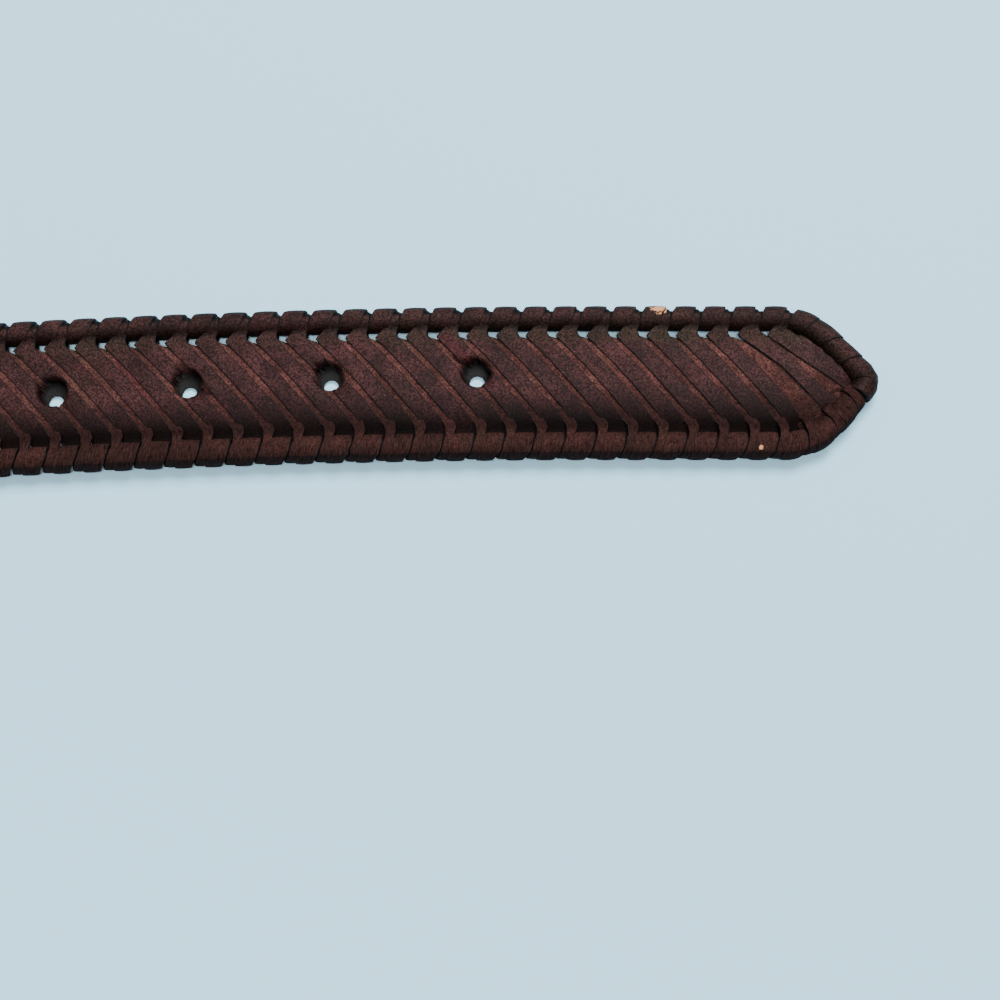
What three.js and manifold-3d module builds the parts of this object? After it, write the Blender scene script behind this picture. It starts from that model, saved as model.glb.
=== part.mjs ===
// Braided leather belt lying flat and open, in millimetres. The buckle is at -X, the holed tip
// at +X, the right side faces +Z, and the origin is on the surface under the middle of the belt.
// Everything is drawn on a straight strap, s along it from the buckle's bar and y across it,
// and lay() then bends the strap a little near the tip, as it lies.
import * as THREE from "three";
import { mergeVertices } from "three/addons/utils/BufferGeometryUtils.js";
import Module from "manifold-3d";

const wasm = await Module();
wasm.setup();

const rad = THREE.MathUtils.degToRad;

// Lengths along the belt
const barToMiddleHole = 762;
const holeSpacing = 25.4;
const tipToFirstHole = 70.8;
const holeDiameter = 5.9;
// Where each hole was punched by eye: hole spacings from the first one, and hole diameters
// from the centre line towards +y
const holePlaces = [
  { along: 0, aside: 0.29 },
  { along: 1.02, aside: 0.25 },
  { along: 2.01, aside: 0.16 },
  { along: 2.94, aside: 0.08 },
  { along: 3.94, aside: 0.05 },
];
const middleHole = holePlaces[2].along;
const holeSides = 24;

// The two rims are one cord that runs round the tip, wrapped by the lace
const rimSpacing = 23.6;
const rimRadius = 2.3;
const notchRadius = 1.6;
const tipCordRadius = 1.9;
const pitch = 5.33;
const wrapWidth = 4.3;
const wrapEdge = 0.3;
const wrapSlant = 0.45;
const rimSides = 8;
const shoulderRadius = 12;
const taperAngle = rad(48);
const tipBendRadius = 2.2;

// The panel between the rims is two layers of slanting lace
const stripWidth = 3;
const topStripAngle = rad(49.9);
const underStripAngle = rad(43.2);
const layerThickness = 0.8;
const stripRelief = 0.4;
const toothWidth = 3.1;
const slotDepth = 1.1;
const braidedUnits = 29;
const lastStripFromTip = 17.3;
const lastSlotFromTip = 14.8;
const underStripShift = 2.6;
const lowerSlotShift = 2.6;

// How the strap lies: straight at the tip, then a gentle bend, then straight to the buckle
const straightTip = 48;
const bendRadius = 1800;
const bendLength = 107;
const layStep = 20;
const shoulderSteps = 6;

// Folded leather at the buckle, and the room that neighbours keep
const clearance = 0.3;
const chapeLength = 45;
const plyThickness = 1.2;
const foldRun = 9;
const tongueSlotWidth = 6;
const tongueSlotReach = 7;

// Buckle
const barDiameter = 3;
const frameReach = 24;
const frameWidth = 3.5;
const frameThickness = 3;
const frameEdge = 0.6;
const frameCorner = 4;
const windowCorner = 1.5;
const windowRoom = 0.8;
const tongueWidth = 3.2;
const tongueThickness = 2.2;
const tongueEyeRadius = 2.6;
const tongueSeat = 0.4;

// Sizes that follow
const strapLength = barToMiddleHole + middleHole * holeSpacing + tipToFirstHole;
const halfRimSpacing = rimSpacing / 2;
const beltThickness = 2 * rimRadius;
const beltWidth = rimSpacing + 2 * rimRadius;
const midHeight = rimRadius;
const panelInset = rimRadius + clearance;
const halfPanel = halfRimSpacing - panelInset;
const panelTop = midHeight + layerThickness;
const panelUnderside = midHeight - layerThickness;
const baseTop = panelTop - stripRelief;
const baseUnderside = panelUnderside + stripRelief;
const braidStart = strapLength - lastStripFromTip - braidedUnits * pitch;
const boreRadius = barDiameter / 2 + clearance;
const foldRadius = boreRadius + plyThickness;
const barHeight = foldRadius;
const taperRun =
  (halfRimSpacing - shoulderRadius * (1 - Math.cos(taperAngle)) - tipBendRadius * Math.cos(taperAngle)) /
  Math.sin(taperAngle);
const tipBendLength = tipBendRadius * (Math.PI / 2 - taperAngle);
const roundTipLength = tipBendLength + taperRun + shoulderRadius * taperAngle;
const tipCentre = strapLength - tipCordRadius - tipBendRadius;
const shoulderStart =
  tipCentre +
  tipBendRadius * Math.sin(taperAngle) -
  taperRun * Math.cos(taperAngle) -
  shoulderRadius * Math.sin(taperAngle);
const shoulderCentreY = halfRimSpacing - shoulderRadius;

// Bends the straight strap in plan, and returns the place of its point (s, y)
const bendStart = strapLength - straightTip - bendLength;
function lay(s, y) {
  const angle = THREE.MathUtils.clamp((s - bendStart) / bendRadius, 0, bendLength / bendRadius);
  const run = s - bendStart - angle * bendRadius;
  const forward = new THREE.Vector2(Math.cos(angle), -Math.sin(angle));
  const left = new THREE.Vector2(Math.sin(angle), Math.cos(angle));
  return new THREE.Vector2(bendStart, -bendRadius)
    .addScaledVector(left, bendRadius + y)
    .addScaledVector(forward, run);
}

// Turns a three.js geometry into a solid that can be joined and cut
function toSolid(geometry) {
  const bare = geometry.clone();
  bare.deleteAttribute("normal");
  bare.deleteAttribute("uv");
  const merged = mergeVertices(bare, 1e-4);
  return new wasm.Manifold(
    new wasm.Mesh({
      numProp: 3,
      vertProperties: new Float32Array(merged.attributes.position.array),
      triVerts: new Uint32Array(merged.index.array),
    }),
  );
}

// Turns a solid back into a geometry
function toGeometry(solid) {
  const mesh = solid.getMesh();
  const geometry = new THREE.BufferGeometry();
  geometry.setAttribute("position", new THREE.BufferAttribute(mesh.vertProperties, 3));
  geometry.setIndex(new THREE.BufferAttribute(mesh.triVerts, 1));
  geometry.computeVertexNormals();
  return geometry;
}

// A plate whose outline is given as strap points [s, y], from one height to another
function plate(outline, low, high) {
  const shape = new THREE.Shape(outline.map(([s, y]) => lay(s, y)));
  const geometry = new THREE.ExtrudeGeometry(shape, { depth: high - low, bevelEnabled: false });
  geometry.translate(0, 0, low);
  return toSolid(geometry);
}

// A side view [x, z] extruded across the belt to a width, about the centre line
function acrossBelt(sideView, width, curveSegments) {
  const geometry = new THREE.ExtrudeGeometry(sideView, { depth: width, bevelEnabled: false, curveSegments });
  geometry.rotateX(Math.PI / 2);
  geometry.translate(0, width / 2, 0);
  return toSolid(geometry);
}

// A closed body through rings that run along it, each with the same number of corners
function loft(rings) {
  const sides = rings[0].length;
  const faces = [];
  for (let r = 0; r + 1 < rings.length; r++) {
    for (let i = 0; i < sides; i++) {
      const a = r * sides + i;
      const b = r * sides + ((i + 1) % sides);
      faces.push(a, a + sides, b, b, a + sides, b + sides);
    }
  }
  const last = (rings.length - 1) * sides;
  for (let i = 1; i + 1 < sides; i++) faces.push(0, i, i + 1, last, last + i + 1, last + i);
  const geometry = new THREE.BufferGeometry().setFromPoints(rings.flat());
  geometry.setIndex(faces);
  geometry.computeVertexNormals();
  return geometry;
}

// The rim's centre line at a distance d from the tip's middle, on the +y side for d > 0,
// with the direction that points out of the belt there
function rimPoint(d) {
  const side = d < 0 ? -1 : 1;
  const fromTip = Math.abs(d);
  let outward = Math.PI / 2;
  let s = shoulderStart - (fromTip - roundTipLength);
  let y = halfRimSpacing;
  if (fromTip < tipBendLength) {
    outward = fromTip / tipBendRadius;
    s = tipCentre + tipBendRadius * Math.cos(outward);
    y = tipBendRadius * Math.sin(outward);
  } else if (fromTip < tipBendLength + taperRun) {
    const run = fromTip - tipBendLength;
    outward = Math.PI / 2 - taperAngle;
    s = tipCentre + tipBendRadius * Math.cos(outward) - run * Math.cos(taperAngle);
    y = tipBendRadius * Math.sin(outward) + run * Math.sin(taperAngle);
  } else if (fromTip < roundTipLength) {
    outward = Math.PI / 2 - (roundTipLength - fromTip) / shoulderRadius;
    s = shoulderStart + shoulderRadius * Math.cos(outward);
    y = shoulderCentreY + shoulderRadius * Math.sin(outward);
  }
  return { s, y: side * y, out: [Math.cos(outward), side * Math.sin(outward)] };
}

// One eight-sided ring of the rim, flat above and below, with its outer side nearer the tip on
// one edge of the belt and its inner side on the other, as the lace is wound
function rimRing(d, radius, slant) {
  const cornerRadius = radius / Math.cos(Math.PI / rimSides);
  const ring = [];
  for (let i = 0; i < rimSides; i++) {
    const turn = ((i + 0.5) * 2 * Math.PI) / rimSides;
    const reach = cornerRadius * Math.cos(turn);
    const { s, y, out } = rimPoint(d - slant * Math.cos(turn));
    const place = lay(s + out[0] * reach, y + out[1] * reach);
    ring.push(new THREE.Vector3(place.x, place.y, midHeight + cornerRadius * Math.sin(turn)));
  }
  return ring;
}

// The rim shows each wrap on the braided stretch and runs on plainly to the buckle's leather
function rimCord() {
  const stations = [
    [tipBendLength / 2, tipCordRadius, 0],
    [tipBendLength, tipCordRadius, 0],
  ];
  const braidEnd = roundTipLength + shoulderStart - braidStart;
  for (let start = tipBendLength + wrapSlant; start + pitch < braidEnd; start += pitch) {
    stations.push([start, notchRadius, wrapSlant]);
    stations.push([start + wrapEdge, rimRadius, wrapSlant]);
    stations.push([start + wrapWidth - wrapEdge, rimRadius, wrapSlant]);
    stations.push([start + wrapWidth, notchRadius, wrapSlant]);
  }
  stations.push([braidEnd, notchRadius, 0], [braidEnd + wrapEdge, rimRadius, 0]);
  stations.push([roundTipLength + shoulderStart - chapeLength - clearance, rimRadius, 0]);
  const upper = stations.map(([d, radius, slant]) => rimRing(d, radius, slant));
  const lower = stations.map(([d, radius, slant]) => rimRing(-d, radius, slant)).reverse();
  return loft([...lower, rimRing(0, tipCordRadius, 0), ...upper]);
}

// Points along the belt at one distance from its centre line, close enough to follow the bend
function alongBelt(from, to, y) {
  const steps = Math.ceil(Math.abs(to - from) / layStep);
  return Array.from({ length: steps + 1 }, (_, i) => [from + ((to - from) * i) / steps, y]);
}

// The panel's outline from s = from to its point, all round inside the rim
function panelOutline(from) {
  const upper = alongBelt(from, shoulderStart, halfPanel);
  for (let i = 1; i <= shoulderSteps; i++) {
    const turn = (taperAngle * i) / shoulderSteps;
    const radius = shoulderRadius - panelInset;
    upper.push([shoulderStart + radius * Math.sin(turn), shoulderCentreY + radius * Math.cos(turn)]);
  }
  const tipReach = tipBendRadius - panelInset;
  if (tipReach > 0) upper.push([tipCentre + tipReach * Math.sin(taperAngle), tipReach * Math.cos(taperAngle)]);
  const point = [tipCentre + (tipReach > 0 ? tipReach : tipReach / Math.sin(taperAngle)), 0];
  const lower = upper.map(([s, y]) => [s, -y]).reverse();
  return [...upper, point, ...lower];
}

// One layer of slanting strips, from the +y edge to the -y edge, clipped to the panel
function stripLayer(angle, low, high, shift) {
  const halfRun = stripWidth / Math.sin(angle) / 2;
  const lean = (2 * halfPanel) / Math.tan(angle);
  const count = braidedUnits + Math.ceil(lean / pitch);
  let layer;
  for (let k = 0; k < count; k++) {
    const top = strapLength - lastStripFromTip - shift - k * pitch;
    const strip = plate(
      [
        [top - halfRun, halfPanel],
        [top + halfRun, halfPanel],
        [top + lean + halfRun, -halfPanel],
        [top + lean - halfRun, -halfPanel],
      ],
      low,
      high,
    );
    layer = layer ? layer.add(strip) : strip;
  }
  return layer.intersect(plate(panelOutline(braidStart - lean), low, high));
}

// The slots between the strips' ends, open towards the rims
function slotCutters() {
  const cutters = [];
  const halfSlot = (pitch - toothWidth) / 2;
  for (let k = 0; k < braidedUnits; k++) {
    for (const side of [1, -1]) {
      const middle = strapLength - lastSlotFromTip - k * pitch - (side < 0 ? lowerSlotShift : 0);
      const inner = side * (halfPanel - slotDepth);
      const outer = side * (halfPanel + clearance);
      const sides = [middle - halfSlot, middle + halfSlot];
      cutters.push([
        [sides[0], inner],
        [sides[1], inner],
        [sides[1], outer],
        [sides[0], outer],
      ]);
    }
  }
  return cutters.map((outline) => plate(outline, 0, beltThickness));
}

// A round punched hole
function holeCutter({ along, aside }) {
  const s = strapLength - tipToFirstHole - along * holeSpacing;
  const y = aside * holeDiameter;
  const outline = [];
  for (let i = 0; i < holeSides; i++) {
    const turn = (i * 2 * Math.PI) / holeSides;
    const radius = holeDiameter / 2;
    outline.push([s + radius * Math.cos(turn), y + radius * Math.sin(turn)]);
  }
  return plate(outline, 0, beltThickness);
}

// The braided panel: ribbed on the stretch that is braided openly, plain on to the buckle
function wovenPanel() {
  const plain = plate(
    [
      [foldRun + clearance, -halfPanel],
      [braidStart, -halfPanel],
      [braidStart, halfPanel],
      [foldRun + clearance, halfPanel],
    ],
    panelUnderside,
    panelTop,
  );
  let panel = plate(panelOutline(braidStart - pitch), baseUnderside, baseTop)
    .add(plain)
    .add(stripLayer(topStripAngle, baseUnderside, panelTop, 0))
    .add(stripLayer(underStripAngle, panelUnderside, baseTop, underStripShift));
  for (const cutter of slotCutters()) panel = panel.subtract(cutter);
  for (const place of holePlaces) panel = panel.subtract(holeCutter(place));
  return toGeometry(panel);
}

// The folded leather: two plies with the braid's end between them, closed round the bar
function chape() {
  const side = new THREE.Shape();
  side.moveTo(chapeLength, 0);
  side.lineTo(0, 0);
  side.absarc(0, barHeight, foldRadius, -Math.PI / 2, Math.PI / 2, true);
  side.lineTo(foldRun, beltThickness);
  side.lineTo(chapeLength, beltThickness);
  side.lineTo(chapeLength, beltThickness - plyThickness);
  side.lineTo(foldRun, beltThickness - plyThickness);
  side.lineTo(0, barHeight + boreRadius);
  side.absarc(0, barHeight, boreRadius, Math.PI / 2, -Math.PI / 2, false);
  side.lineTo(chapeLength, plyThickness);
  const slot = new THREE.BoxGeometry(tongueSlotReach + 2 * foldRadius, tongueSlotWidth, 4 * foldRadius);
  slot.translate(tongueSlotReach - (tongueSlotReach + 2 * foldRadius) / 2, 0, barHeight);
  return toGeometry(acrossBelt(side, beltWidth, 6).subtract(toSolid(slot)));
}

// The buckle lies along -x from its bar, which is at the origin here
function buckle() {
  const heel = frameWidth / 2;
  const outerX = frameReach + frameWidth / 2;
  const innerX = frameReach - frameWidth / 2;
  const innerY = beltWidth / 2 + windowRoom;
  const outerY = innerY + frameWidth;
  const outline = new THREE.Shape();
  outline.moveTo(heel, -outerY);
  outline.lineTo(-outerX + frameCorner, -outerY);
  outline.absarc(-outerX + frameCorner, -outerY + frameCorner, frameCorner, -Math.PI / 2, -Math.PI, true);
  outline.absarc(-outerX + frameCorner, outerY - frameCorner, frameCorner, Math.PI, Math.PI / 2, true);
  outline.lineTo(heel, outerY);
  outline.lineTo(heel, innerY);
  outline.absarc(-innerX + windowCorner, innerY - windowCorner, windowCorner, Math.PI / 2, Math.PI, false);
  outline.absarc(-innerX + windowCorner, -innerY + windowCorner, windowCorner, Math.PI, 1.5 * Math.PI, false);
  outline.lineTo(heel, -innerY);
  const frame = new THREE.ExtrudeGeometry(outline, {
    depth: frameThickness - 2 * frameEdge,
    bevelThickness: frameEdge,
    bevelSize: frameEdge,
    bevelOffset: -frameEdge,
    bevelSegments: 1,
    curveSegments: 4,
  });
  frame.translate(0, 0, frameEdge - frameThickness / 2);
  const bar = new THREE.CylinderGeometry(barDiameter / 2, barDiameter / 2, innerY + outerY, 16);

  const seat = frameThickness / 2;
  const top = seat + tongueThickness;
  const tongue = new THREE.Shape();
  tongue.moveTo(0, tongueEyeRadius);
  tongue.lineTo(-innerX, top);
  tongue.lineTo(-outerX, top - tongueSeat);
  tongue.lineTo(-outerX - tongueSeat, seat + tongueThickness / 4);
  tongue.lineTo(-outerX, seat - tongueSeat);
  tongue.lineTo(-innerX, seat - tongueSeat);
  tongue.lineTo(-innerX / 2, seat - tongueSeat);
  tongue.lineTo(0, -tongueThickness / 2);
  const eye = new THREE.CylinderGeometry(tongueEyeRadius, tongueEyeRadius, tongueWidth, 16);
  const solid = toSolid(frame).add(toSolid(bar)).add(toSolid(eye)).add(acrossBelt(tongue, tongueWidth, 1));
  return toGeometry(solid);
}

function piece(name, geometry, color, roughness, metalness) {
  const material = new THREE.MeshStandardMaterial({ color, roughness, metalness });
  const mesh = new THREE.Mesh(geometry, material);
  mesh.name = name;
  return mesh;
}

const belt = new THREE.Group();
belt.add(piece("rim_cord", rimCord(), 0x2c2223, 0.6, 0));
belt.add(piece("woven_panel", wovenPanel(), 0x463534, 0.6, 0));
belt.add(piece("chape", chape(), 0x463534, 0.6, 0));

// The frame's far edge rests on the surface, so it slopes down a little from the fold
const farEdge = frameReach + frameWidth / 2 - frameEdge;
const buckleSlope = new THREE.Group();
buckleSlope.add(piece("buckle", buckle(), 0x8f8a80, 0.35, 1));
buckleSlope.position.z = barHeight;
buckleSlope.rotation.y = -Math.asin((barHeight - frameThickness / 2) / farEdge);
belt.add(buckleSlope);

// The origin is on the surface, under the middle of the whole belt
const extent = new THREE.Box3().setFromObject(belt, true);
const middle = extent.getCenter(new THREE.Vector3());
belt.position.set(-middle.x, -middle.y, -extent.min.z);

export default belt;
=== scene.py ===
import math
import random

import bmesh
import bpy
from mathutils import Matrix, Vector, noise


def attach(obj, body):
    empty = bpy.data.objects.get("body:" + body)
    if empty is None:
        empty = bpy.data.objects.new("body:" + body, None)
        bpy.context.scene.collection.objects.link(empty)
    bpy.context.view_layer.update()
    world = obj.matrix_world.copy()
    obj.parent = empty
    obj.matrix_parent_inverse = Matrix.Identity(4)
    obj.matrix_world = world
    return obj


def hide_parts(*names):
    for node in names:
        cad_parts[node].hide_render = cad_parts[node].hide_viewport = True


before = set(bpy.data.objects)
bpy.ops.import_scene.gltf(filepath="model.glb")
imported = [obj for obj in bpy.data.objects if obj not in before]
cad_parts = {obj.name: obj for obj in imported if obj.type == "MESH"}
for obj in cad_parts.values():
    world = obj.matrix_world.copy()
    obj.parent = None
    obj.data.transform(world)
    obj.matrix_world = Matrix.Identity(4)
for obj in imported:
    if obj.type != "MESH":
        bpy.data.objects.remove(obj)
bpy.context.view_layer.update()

bpy.ops.object.select_all(action="DESELECT")
bpy.context.view_layer.objects.active = None
rng = random.Random(27)

# Sizes repeated from part.mjs, here in metres
MM = 0.001
RIM_SPACING = 23.6 * MM
RIM_RADIUS = 2.3 * MM
PITCH = 5.33 * MM
SHOULDER_RADIUS = 12 * MM
TAPER_ANGLE = math.radians(48)
TIP_BEND_RADIUS = 2.2 * MM
TIP_CORD_RADIUS = 1.9 * MM
HOLE_SPACING = 25.4 * MM
HOLE_DIAMETER = 5.9 * MM
TIP_TO_FIRST_HOLE = 70.8 * MM
BAR_TO_MIDDLE_HOLE = 762 * MM
HOLES = [(0, 0.29), (1.02, 0.25), (2.01, 0.16), (2.94, 0.08), (3.94, 0.05)]
STRAIGHT_TIP = 48 * MM
BEND_RADIUS = 1800 * MM
BEND_LENGTH = 107 * MM
CHAPE_LENGTH = 45 * MM
PLY_THICKNESS = 1.2 * MM
FOLD_RUN = 9 * MM
BORE_RADIUS = 1.8 * MM
TONGUE_SLOT_WIDTH = 6 * MM
TONGUE_SLOT_REACH = 7 * MM

# Sizes that follow
HALF_RIM = RIM_SPACING / 2
MID_HEIGHT = RIM_RADIUS
BELT_THICKNESS = 2 * RIM_RADIUS
BELT_WIDTH = RIM_SPACING + 2 * RIM_RADIUS
FOLD_RADIUS = BORE_RADIUS + PLY_THICKNESS
STRAP_LENGTH = BAR_TO_MIDDLE_HOLE + HOLES[2][0] * HOLE_SPACING + TIP_TO_FIRST_HOLE
TIP_CENTRE = STRAP_LENGTH - TIP_BEND_RADIUS - TIP_CORD_RADIUS
BEND_START = STRAP_LENGTH - STRAIGHT_TIP - BEND_LENGTH
TIP_BEND = TIP_BEND_RADIUS * (math.pi / 2 - TAPER_ANGLE)
TAPER_RUN = (
    HALF_RIM
    - SHOULDER_RADIUS * (1 - math.cos(TAPER_ANGLE))
    - TIP_BEND_RADIUS * math.cos(TAPER_ANGLE)
) / math.sin(TAPER_ANGLE)
ROUND_TIP = TIP_BEND + TAPER_RUN + SHOULDER_RADIUS * TAPER_ANGLE
SHOULDER_START = (
    TIP_CENTRE
    + TIP_BEND_RADIUS * math.sin(TAPER_ANGLE)
    - TAPER_RUN * math.cos(TAPER_ANGLE)
    - SHOULDER_RADIUS * math.sin(TAPER_ANGLE)
)
SHOULDER_CENTRE_Y = HALF_RIM - SHOULDER_RADIUS
APEX = SHOULDER_START + ROUND_TIP


# Where a point of the straight strap comes to lie
def lay(s, y):
    angle = min(max((s - BEND_START) / BEND_RADIUS, 0), BEND_LENGTH / BEND_RADIUS)
    run = s - BEND_START - angle * BEND_RADIUS
    forward = Vector((math.cos(angle), -math.sin(angle)))
    left = Vector((math.sin(angle), math.cos(angle)))
    return Vector((BEND_START, -BEND_RADIUS)) + left * (BEND_RADIUS + y) + forward * run


TIP_TURN = BEND_LENGTH / BEND_RADIUS
TIP_FORWARD = Vector((math.cos(TIP_TURN), -math.sin(TIP_TURN)))
TIP_LEFT = Vector((math.sin(TIP_TURN), math.cos(TIP_TURN)))
# The frame's origin is under the middle of the box, and the bar's axis is a fold's radius above z 0
BAR_PLACE = Vector((-428.7403 * MM, 0.3440 * MM))
ORIGIN = BAR_PLACE - lay(0, 0)


# The rim's centre line and its outward direction, x along the cord from the bar
def rim(x, side):
    from_tip = APEX - x
    if from_tip > ROUND_TIP:
        return Vector((x, side * HALF_RIM)), Vector((0, side))
    if from_tip < 0:
        from_tip, side = -from_tip, -side
    if from_tip < TIP_BEND:
        outward = from_tip / TIP_BEND_RADIUS
        s = TIP_CENTRE + TIP_BEND_RADIUS * math.cos(outward)
        y = TIP_BEND_RADIUS * math.sin(outward)
    elif from_tip < TIP_BEND + TAPER_RUN:
        run = from_tip - TIP_BEND
        outward = math.pi / 2 - TAPER_ANGLE
        s = TIP_CENTRE + TIP_BEND_RADIUS * math.cos(outward) - run * math.cos(TAPER_ANGLE)
        y = TIP_BEND_RADIUS * math.sin(outward) + run * math.sin(TAPER_ANGLE)
    else:
        outward = math.pi / 2 - (ROUND_TIP - from_tip) / SHOULDER_RADIUS
        s = SHOULDER_START + SHOULDER_RADIUS * math.cos(outward)
        y = SHOULDER_CENTRE_Y + SHOULDER_RADIUS * math.sin(outward)
    return Vector((s, side * y)), Vector((math.cos(outward), side * math.sin(outward)))


PANEL_EDGE = HALF_RIM - 2.4 * MM


# A point of the straight braid, moved to the round tip and the belt's bend. The last strips at the
# tip are already placed there, so between the rims they only take the bend.
def place(point, at_tip=False):
    x, y, z = point
    if at_tip and abs(y) < PANEL_EDGE:
        flat = Vector((x, y))
    elif abs(y) >= PANEL_EDGE:
        side = 1 if y > 0 else -1
        centre, outward = rim(x, side)
        flat = centre + outward * (abs(y) - HALF_RIM)
    else:
        upper, upper_out = rim(x, 1)
        lower, lower_out = rim(x, -1)
        upper = upper + upper_out * (PANEL_EDGE - HALF_RIM)
        lower = lower + lower_out * (PANEL_EDGE - HALF_RIM)
        flat = lower.lerp(upper, (y + PANEL_EDGE) / (2 * PANEL_EDGE))
    flat = lay(flat.x, flat.y) + ORIGIN
    return Vector((flat.x, flat.y, z))


# Materials: helpers for node trees
def new_group(name, inputs, outputs):
    group = bpy.data.node_groups.new(name, "ShaderNodeTree")
    for label, kind, value in inputs:
        socket = group.interface.new_socket(label, in_out="INPUT", socket_type=kind)
        if value is not None:
            socket.default_value = value
    for label, kind in outputs:
        group.interface.new_socket(label, in_out="OUTPUT", socket_type=kind)
    source = group.nodes.new("NodeGroupInput")
    sink = group.nodes.new("NodeGroupOutput")
    return group, source, sink


def node(tree, kind, **settings):
    made = tree.nodes.new(kind)
    for name, value in settings.items():
        setattr(made, name, value)
    return made


def math_node(tree, operation, a, b=None, clamp=False):
    made = node(tree, "ShaderNodeMath", operation=operation, use_clamp=clamp)
    for socket, value in zip(made.inputs, (a, b)):
        if value is None:
            continue
        if isinstance(value, (int, float)):
            socket.default_value = value
        else:
            tree.links.new(value, socket)
    return made.outputs["Value"]


def noise_node(tree, vector, scale, detail, roughness=0.55):
    made = node(tree, "ShaderNodeTexNoise")
    tree.links.new(vector, made.inputs["Vector"])
    made.inputs["Scale"].default_value = scale
    made.inputs["Detail"].default_value = detail
    made.inputs["Roughness"].default_value = roughness
    return made.outputs["Fac"]


def spread(tree, value, low, high, to_low=0.0, to_high=1.0):
    made = node(tree, "ShaderNodeMapRange")
    tree.links.new(value, made.inputs["Value"])
    for name, number in (("From Min", low), ("From Max", high), ("To Min", to_low), ("To Max", to_high)):
        made.inputs[name].default_value = number
    return made.outputs["Result"]


def mix_colour(tree, factor, a, b, blend="MIX"):
    made = node(tree, "ShaderNodeMix", data_type="RGBA", blend_type=blend)
    for socket, value in ((made.inputs[0], factor), (made.inputs[6], a), (made.inputs[7], b)):
        if isinstance(value, bpy.types.NodeSocket):
            tree.links.new(value, socket)
        else:
            socket.default_value = value
    return made.outputs[2]


# Leather grain shared by every leather material: pores and creases, patches of dye, pale flecks
def build_grain_group():
    group, source, sink = new_group(
        "leather_grain",
        [("Vector", "NodeSocketVector", None), ("Pore Size", "NodeSocketFloat", 1.0)],
        [("Height", "NodeSocketFloat"), ("Patches", "NodeSocketFloat"), ("Flecks", "NodeSocketFloat"),
         ("Speckle", "NodeSocketFloat"), ("Stains", "NodeSocketFloat")],
    )
    scaled = node(group, "ShaderNodeVectorMath", operation="SCALE")
    group.links.new(source.outputs["Vector"], scaled.inputs[0])
    group.links.new(source.outputs["Pore Size"], scaled.inputs["Scale"])
    vector = scaled.outputs["Vector"]
    pores = noise_node(group, vector, 2600, 3)
    creases = noise_node(group, vector, 900, 2)
    height = math_node(group, "ADD", math_node(group, "MULTIPLY", pores, 0.6),
                       math_node(group, "MULTIPLY", creases, 0.4))
    patches = spread(group, noise_node(group, vector, 230, 3), 0.35, 0.68)
    flecks = spread(group, noise_node(group, vector, 3300, 1), 0.66, 0.78)
    speckle = spread(group, noise_node(group, vector, 2900, 2, 0.75), 0.41, 0.60)
    stains = spread(group, noise_node(group, vector, 85, 2), 0.5, 0.72)
    group.links.new(height, sink.inputs["Height"])
    group.links.new(patches, sink.inputs["Patches"])
    group.links.new(flecks, sink.inputs["Flecks"])
    group.links.new(speckle, sink.inputs["Speckle"])
    group.links.new(stains, sink.inputs["Stains"])
    return group


# Darkening towards the two edges of a strap or lace, from the UV map's place across it
def build_edge_group():
    group, source, sink = new_group(
        "dyed_edge",
        [("Across", "NodeSocketFloat", 0.5), ("Vector", "NodeSocketVector", None),
         ("Reach", "NodeSocketFloat", 0.2)],
        [("Edge", "NodeSocketFloat")],
    )
    centred = math_node(group, "ABSOLUTE", math_node(group, "SUBTRACT", source.outputs["Across"], 0.5))
    from_edge = math_node(group, "SUBTRACT", 0.5, centred)
    ragged = spread(group, noise_node(group, source.outputs["Vector"], 900, 2), 0.3, 0.7, -0.06, 0.06)
    shifted = math_node(group, "ADD", from_edge, ragged)
    scaled = math_node(group, "DIVIDE", shifted, source.outputs["Reach"])
    edge = math_node(group, "SUBTRACT", 1.0, scaled, clamp=True)
    group.links.new(edge, sink.inputs["Edge"])
    return group


# Attributes of the lace: how much painted shade and grime darken it, where it takes an olive painted
# shade, and where the dye turned redder
# The lace's darkening attribute is painted shade with some grime
SHADE_AND_GRIME = "shade_and_grime"
# The olive attribute is painted shade in an olive tint, on the upper shoulders and rim
OLIVE_SHADE = "olive_shade"
RUDDY = "ruddy"
RUDDY_DYE = (0.078, 0.019, 0.022, 1)
NICK_TAN = (0.55, 0.26, 0.13, 1)
SHADE_AND_GRIME_TINT = (0.085, 0.05, 0.044, 1)
OLIVE_SHADE_TINT = (0.038, 0.030, 0.018, 1)
GRAIN = build_grain_group()

# Small places where the dyed surface is rubbed through to tan: middle and half size
NICKS = (
    (lay(845.8 * MM, HALF_RIM + 1.3 * MM) + ORIGIN, 4.2 * MM, (2.2 * MM, 1.4 * MM, 1.4 * MM)),
    (lay(862.6 * MM, -HALF_RIM - 1.1 * MM) + ORIGIN, 4.2 * MM, (0.5 * MM, 0.8 * MM, 0.8 * MM)),
)


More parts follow.
